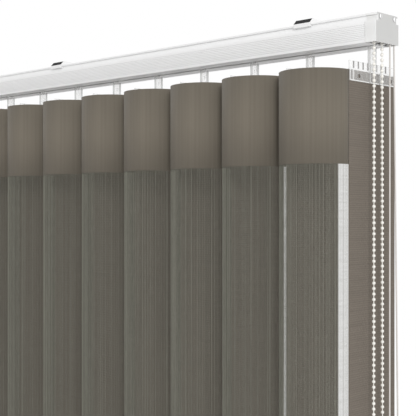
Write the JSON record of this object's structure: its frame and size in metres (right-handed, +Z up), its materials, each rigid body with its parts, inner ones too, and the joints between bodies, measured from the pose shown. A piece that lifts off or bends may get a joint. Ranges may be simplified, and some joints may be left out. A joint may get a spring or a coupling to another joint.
{
  "type": "vertical blind",
  "caption": "Curtain-style vertical blind: ribbed white ceiling rail, turning cloth vanes with half-round sheer drapes, bead chain to tilt and cord to draw.",
  "frame": {"origin": "on the ceiling, midway between the screw holes of the two brackets", "axes": "+X along the rail towards the control end, +Y towards the window, +Z up"},
  "size_m": [0.8346, 0.1419, 1.269],
  "materials": {
    "white_enamel": "satin white enamel on aluminium",
    "end_cap_plastic": "fine matt moulding",
    "screw_steel": "white lacquered steel",
    "bracket_enamel": "white enamel on steel",
    "pad_rubber": "matt black",
    "rod_aluminium": "bright drawn",
    "bead_plastic": "glossy off-white",
    "white_cord": "braided",
    "weight_plastic": "glossy off-white",
    "pulley_plastic": "smooth moulding",
    "carrier_plastic": "smooth moulding",
    "clear_plastic": "clear, polished",
    "vane_cloth": "opaque plain weave",
    "drape_cloth": "opaque header over a sheer weave"
  },
  "bodies": {
    "root": {"headrail": "white_enamel", "control_end_cap": "end_cap_plastic", "idle_end_cap": "end_cap_plastic", "end_cap_screws": "screw_steel", "ceiling_brackets": "bracket_enamel", "bracket_pads": "pad_rubber", "bead_chain": "bead_plastic", "rail_cord": "white_cord", "draw_cord": "white_cord", "cord_weight": "weight_plastic", "carrier_1": "carrier_plastic"},
    "tilt_drive": {"tilt_rod": "rod_aluminium", "chain_sprocket": "bead_plastic"},
    "front_pulley": {"control_pulley_front": "pulley_plastic"},
    "back_pulley": {"control_pulley_back": "pulley_plastic"},
    "end_pulley": {"idle_pulley": "pulley_plastic"},
    "strip_1": {"hanger_1": "clear_plastic", "vane_1": "vane_cloth", "drape_1": "drape_cloth"},
    "runner_2": {"carrier_2": "carrier_plastic"},
    "strip_2": {"hanger_2": "clear_plastic", "vane_2": "vane_cloth", "drape_2": "drape_cloth"},
    "runner_3": {"carrier_3": "carrier_plastic"},
    "strip_3": {"hanger_3": "clear_plastic", "vane_3": "vane_cloth", "drape_3": "drape_cloth"},
    "runner_4": {"carrier_4": "carrier_plastic"},
    "strip_4": {"hanger_4": "clear_plastic", "vane_4": "vane_cloth", "drape_4": "drape_cloth"},
    "runner_5": {"carrier_5": "carrier_plastic"},
    "strip_5": {"hanger_5": "clear_plastic", "vane_5": "vane_cloth", "drape_5": "drape_cloth"},
    "runner_6": {"carrier_6": "carrier_plastic"},
    "strip_6": {"hanger_6": "clear_plastic", "vane_6": "vane_cloth", "drape_6": "drape_cloth"},
    "runner_7": {"carrier_7": "carrier_plastic"},
    "strip_7": {"hanger_7": "clear_plastic", "vane_7": "vane_cloth", "drape_7": "drape_cloth"},
    "runner_8": {"carrier_8": "carrier_plastic"},
    "strip_8": {"hanger_8": "clear_plastic", "vane_8": "vane_cloth", "drape_8": "drape_cloth"},
    "runner_9": {"carrier_9": "carrier_plastic"},
    "strip_9": {"hanger_9": "clear_plastic", "vane_9": "vane_cloth", "drape_9": "drape_cloth"},
    "runner_10": {"carrier_10": "carrier_plastic"},
    "strip_10": {"hanger_10": "clear_plastic", "vane_10": "vane_cloth"}
  },
  "joints": [
    {"name": "carrier_10_slide", "type": "slide", "parent": "root", "child": "runner_10", "axis": [1, 0, 0], "range_m": [0, 0.621], "deforming": ["drape_9"]},
    {"name": "carrier_9_slide", "type": "slide", "parent": "root", "child": "runner_9", "axis": [1, 0, 0], "range_m": [0, 0.552], "deforming": ["drape_8"]},
    {"name": "carrier_8_slide", "type": "slide", "parent": "root", "child": "runner_8", "axis": [1, 0, 0], "range_m": [0, 0.483], "deforming": ["drape_7"]},
    {"name": "carrier_7_slide", "type": "slide", "parent": "root", "child": "runner_7", "axis": [1, 0, 0], "range_m": [0, 0.414], "deforming": ["drape_6"]},
    {"name": "carrier_6_slide", "type": "slide", "parent": "root", "child": "runner_6", "axis": [1, 0, 0], "range_m": [0, 0.345], "deforming": ["drape_5"]},
    {"name": "carrier_5_slide", "type": "slide", "parent": "root", "child": "runner_5", "axis": [1, 0, 0], "range_m": [0, 0.276], "deforming": ["drape_4"]},
    {"name": "carrier_4_slide", "type": "slide", "parent": "root", "child": "runner_4", "axis": [1, 0, 0], "range_m": [0, 0.207], "deforming": ["drape_3"]},
    {"name": "carrier_3_slide", "type": "slide", "parent": "root", "child": "runner_3", "axis": [1, 0, 0], "range_m": [0, 0.138], "deforming": ["drape_2"]},
    {"name": "carrier_2_slide", "type": "slide", "parent": "root", "child": "runner_2", "axis": [1, 0, 0], "range_m": [0, 0.069], "deforming": ["drape_1"]},
    {"name": "vane_1_tilt", "type": "hinge", "parent": "root", "child": "strip_1", "pos_m": [0.316, 0, -0.06], "axis": [0, 0, 1], "range_deg": [0, 75], "deforming": ["bead_chain"]},
    {"name": "vane_2_tilt", "type": "hinge", "parent": "runner_2", "child": "strip_2", "pos_m": [0.229, 0, -0.06], "axis": [0, 0, 1], "range_deg": [0, 75]},
    {"name": "vane_3_tilt", "type": "hinge", "parent": "runner_3", "child": "strip_3", "pos_m": [0.142, 0, -0.06], "axis": [0, 0, 1], "range_deg": [0, 75]},
    {"name": "vane_4_tilt", "type": "hinge", "parent": "runner_4", "child": "strip_4", "pos_m": [0.055, 0, -0.06], "axis": [0, 0, 1], "range_deg": [0, 75]},
    {"name": "vane_5_tilt", "type": "hinge", "parent": "runner_5", "child": "strip_5", "pos_m": [-0.032, 0, -0.06], "axis": [0, 0, 1], "range_deg": [0, 75]},
    {"name": "vane_6_tilt", "type": "hinge", "parent": "runner_6", "child": "strip_6", "pos_m": [-0.119, 0, -0.06], "axis": [0, 0, 1], "range_deg": [0, 75]},
    {"name": "vane_7_tilt", "type": "hinge", "parent": "runner_7", "child": "strip_7", "pos_m": [-0.206, 0, -0.06], "axis": [0, 0, 1], "range_deg": [0, 75]},
    {"name": "vane_8_tilt", "type": "hinge", "parent": "runner_8", "child": "strip_8", "pos_m": [-0.293, 0, -0.06], "axis": [0, 0, 1], "range_deg": [0, 75]},
    {"name": "vane_9_tilt", "type": "hinge", "parent": "runner_9", "child": "strip_9", "pos_m": [-0.38, 0, -0.06], "axis": [0, 0, 1], "range_deg": [0, 75]},
    {"name": "vane_10_tilt", "type": "hinge", "parent": "runner_10", "child": "strip_10", "pos_m": [-0.467, 0, -0.06], "axis": [0, 0, 1], "range_deg": [0, 75]},
    {"name": "tilt_rod_turn", "type": "hinge", "parent": "root", "child": "tilt_drive", "pos_m": [0.329, -0.008, -0.026], "axis": [1, 0, 0], "range_deg": [0, 900]},
    {"name": "front_pulley_turn", "type": "hinge", "parent": "root", "child": "front_pulley", "pos_m": [0.3285, 0.0095, -0.0265], "axis": [0, 1, 0], "range_deg": [0, 7912]},
    {"name": "back_pulley_turn", "type": "hinge", "parent": "root", "child": "back_pulley", "pos_m": [0.3285, 0.0175, -0.0265], "axis": [0, -1, 0], "range_deg": [0, 7912]},
    {"name": "end_pulley_turn", "type": "hinge", "parent": "root", "child": "end_pulley", "pos_m": [-0.484, 0.0135, -0.022], "axis": [0, 0, 1], "range_deg": [0, 8900]}
  ],
  "couplings": [
    {"joint": "carrier_9_slide", "follows": "carrier_10_slide", "ratio": 0.88889},
    {"joint": "carrier_8_slide", "follows": "carrier_10_slide", "ratio": 0.77778},
    {"joint": "carrier_7_slide", "follows": "carrier_10_slide", "ratio": 0.66667},
    {"joint": "carrier_6_slide", "follows": "carrier_10_slide", "ratio": 0.55556},
    {"joint": "carrier_5_slide", "follows": "carrier_10_slide", "ratio": 0.44444},
    {"joint": "carrier_4_slide", "follows": "carrier_10_slide", "ratio": 0.33333},
    {"joint": "carrier_3_slide", "follows": "carrier_10_slide", "ratio": 0.22222},
    {"joint": "carrier_2_slide", "follows": "carrier_10_slide", "ratio": 0.11111},
    {"joint": "vane_2_tilt", "follows": "vane_1_tilt", "ratio": 1},
    {"joint": "vane_3_tilt", "follows": "vane_1_tilt", "ratio": 1},
    {"joint": "vane_4_tilt", "follows": "vane_1_tilt", "ratio": 1},
    {"joint": "vane_5_tilt", "follows": "vane_1_tilt", "ratio": 1},
    {"joint": "vane_6_tilt", "follows": "vane_1_tilt", "ratio": 1},
    {"joint": "vane_7_tilt", "follows": "vane_1_tilt", "ratio": 1},
    {"joint": "vane_8_tilt", "follows": "vane_1_tilt", "ratio": 1},
    {"joint": "vane_9_tilt", "follows": "vane_1_tilt", "ratio": 1},
    {"joint": "vane_10_tilt", "follows": "vane_1_tilt", "ratio": 1},
    {"joint": "tilt_rod_turn", "follows": "vane_1_tilt", "ratio": 12},
    {"joint": "front_pulley_turn", "follows": "carrier_10_slide", "rad_per_m": 222.22},
    {"joint": "back_pulley_turn", "follows": "carrier_10_slide", "rad_per_m": 222.22},
    {"joint": "end_pulley_turn", "follows": "carrier_10_slide", "rad_per_m": 250}
  ]
}
